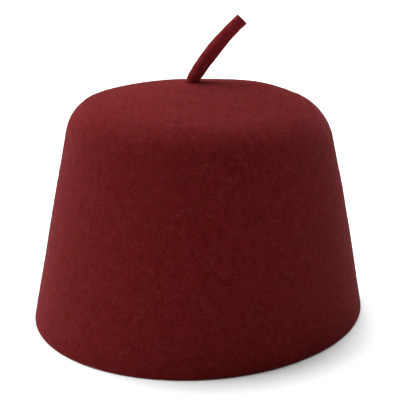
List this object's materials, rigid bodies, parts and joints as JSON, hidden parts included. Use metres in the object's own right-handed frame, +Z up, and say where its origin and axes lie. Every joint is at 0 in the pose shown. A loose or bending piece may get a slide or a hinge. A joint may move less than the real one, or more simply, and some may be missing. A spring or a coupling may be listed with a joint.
{
  "type": "fez hat",
  "caption": "Tall tapered oval felt fez with a rounded shoulder, a nearly flat top and a short leaning stalk of rolled felt, hollow and open below for the head.",
  "frame": {"origin": "middle of the rim oval, on the plane of the crown's cut lower edge", "axes": "+Z up out of the crown's top, +Y along the long way of the head oval, +X across it; the stalk leans towards +X and +Y"},
  "size_m": [0.1794, 0.1966, 0.1664],
  "materials": {
    "crown_felt": "matt wool felt, dark red, short curled surface fibres",
    "stalk_felt": "the same felt rolled tight, denser and a little smoother, with a square-cut end"
  },
  "bodies": {
    "root": {"crown": "crown_felt", "stalk": "stalk_felt"}
  },
  "joints": []
}
